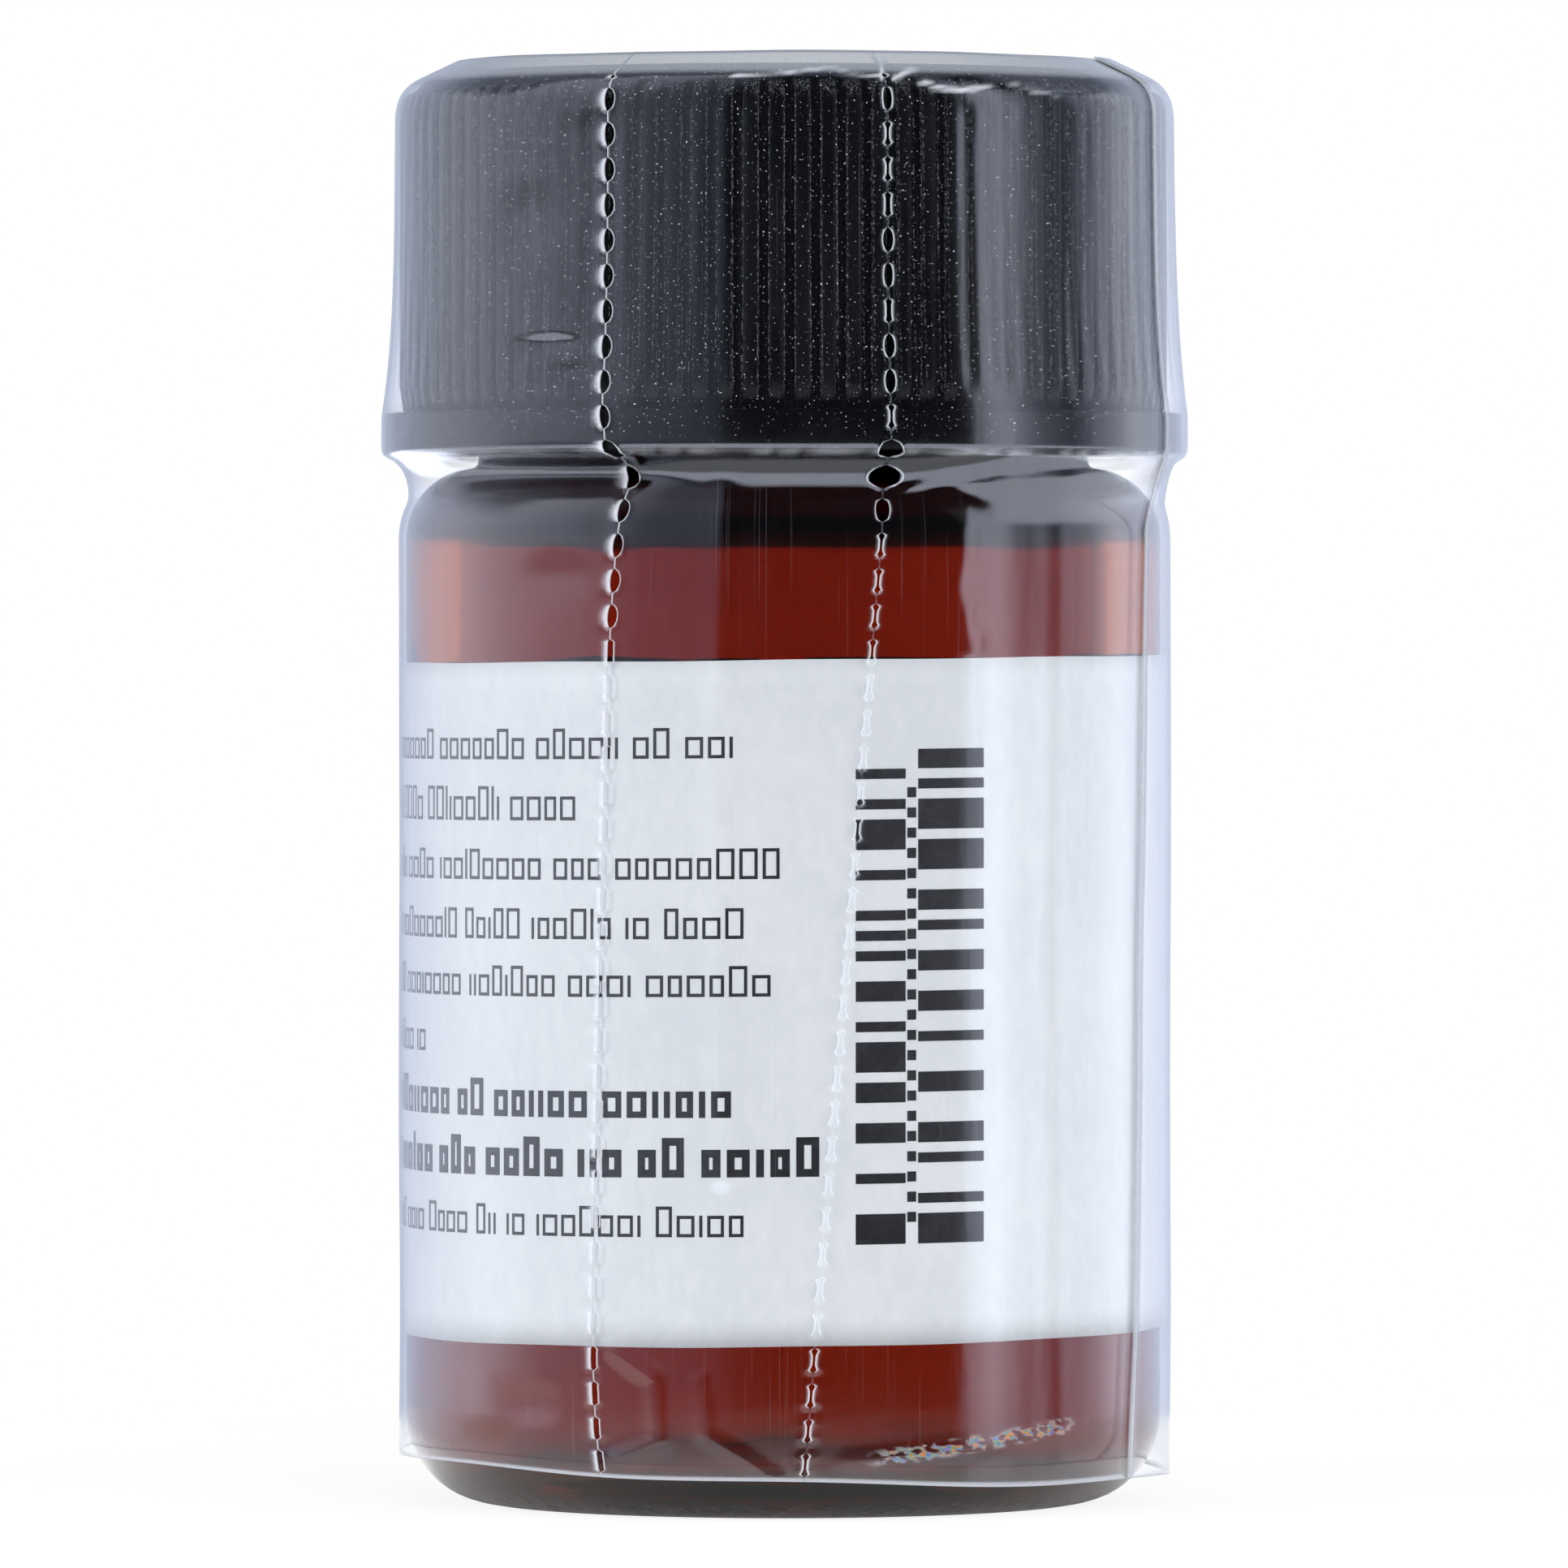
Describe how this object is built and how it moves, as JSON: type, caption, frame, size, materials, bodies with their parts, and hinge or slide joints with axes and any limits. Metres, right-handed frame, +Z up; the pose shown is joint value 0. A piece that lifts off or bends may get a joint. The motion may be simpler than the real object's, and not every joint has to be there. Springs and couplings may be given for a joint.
{
  "type": "eye drop bottle",
  "caption": "Squat amber glass eye drop bottle with a ribbed black screw cap, wrapped paper label, dropper plug in the neck, and clear shrink film with a perforated tear strip.",
  "frame": {"origin": "centre of the base, on the plane that the bottle stands on", "axes": "+Z up along the neck's axis, -Y towards the front where the tear strip is, +X to the right of the front"},
  "size_m": [0.0229, 0.0228, 0.0409],
  "materials": {
    "amber_glass": "gloss",
    "solution": "gloss",
    "natural_plastic": "satin",
    "black_plastic": "satin",
    "liner_foam": "matte",
    "label_paper": "satin",
    "clear_film": "gloss"
  },
  "bodies": {
    "bottle": {"bottle": "amber_glass", "eye_drops": "solution", "dropper_insert": "natural_plastic", "label": "label_paper"},
    "film": {"shrink_sleeve": "clear_film"},
    "cap": {"screw_cap": "black_plastic", "cap_liner": "liner_foam"},
    "strip": {"tear_strip": "clear_film"}
  },
  "joints": [
    {"name": "cap_rise", "type": "slide", "parent": "bottle", "child": "film", "axis": [0, 0, 1], "range_m": [0, 0.0032]},
    {"name": "cap_turn", "type": "hinge", "parent": "film", "child": "cap", "pos_m": [0, 0, 0.03], "axis": [0, 0, 1], "range_deg": [0, 360]},
    {"name": "strip_pull", "type": "slide", "parent": "film", "child": "strip", "axis": [0, -1, 0], "range_m": [0, 0.02]}
  ],
  "couplings": [
    {"joint": "cap_rise", "follows": "cap_turn", "m_per_rad": 0.00050532}
  ]
}
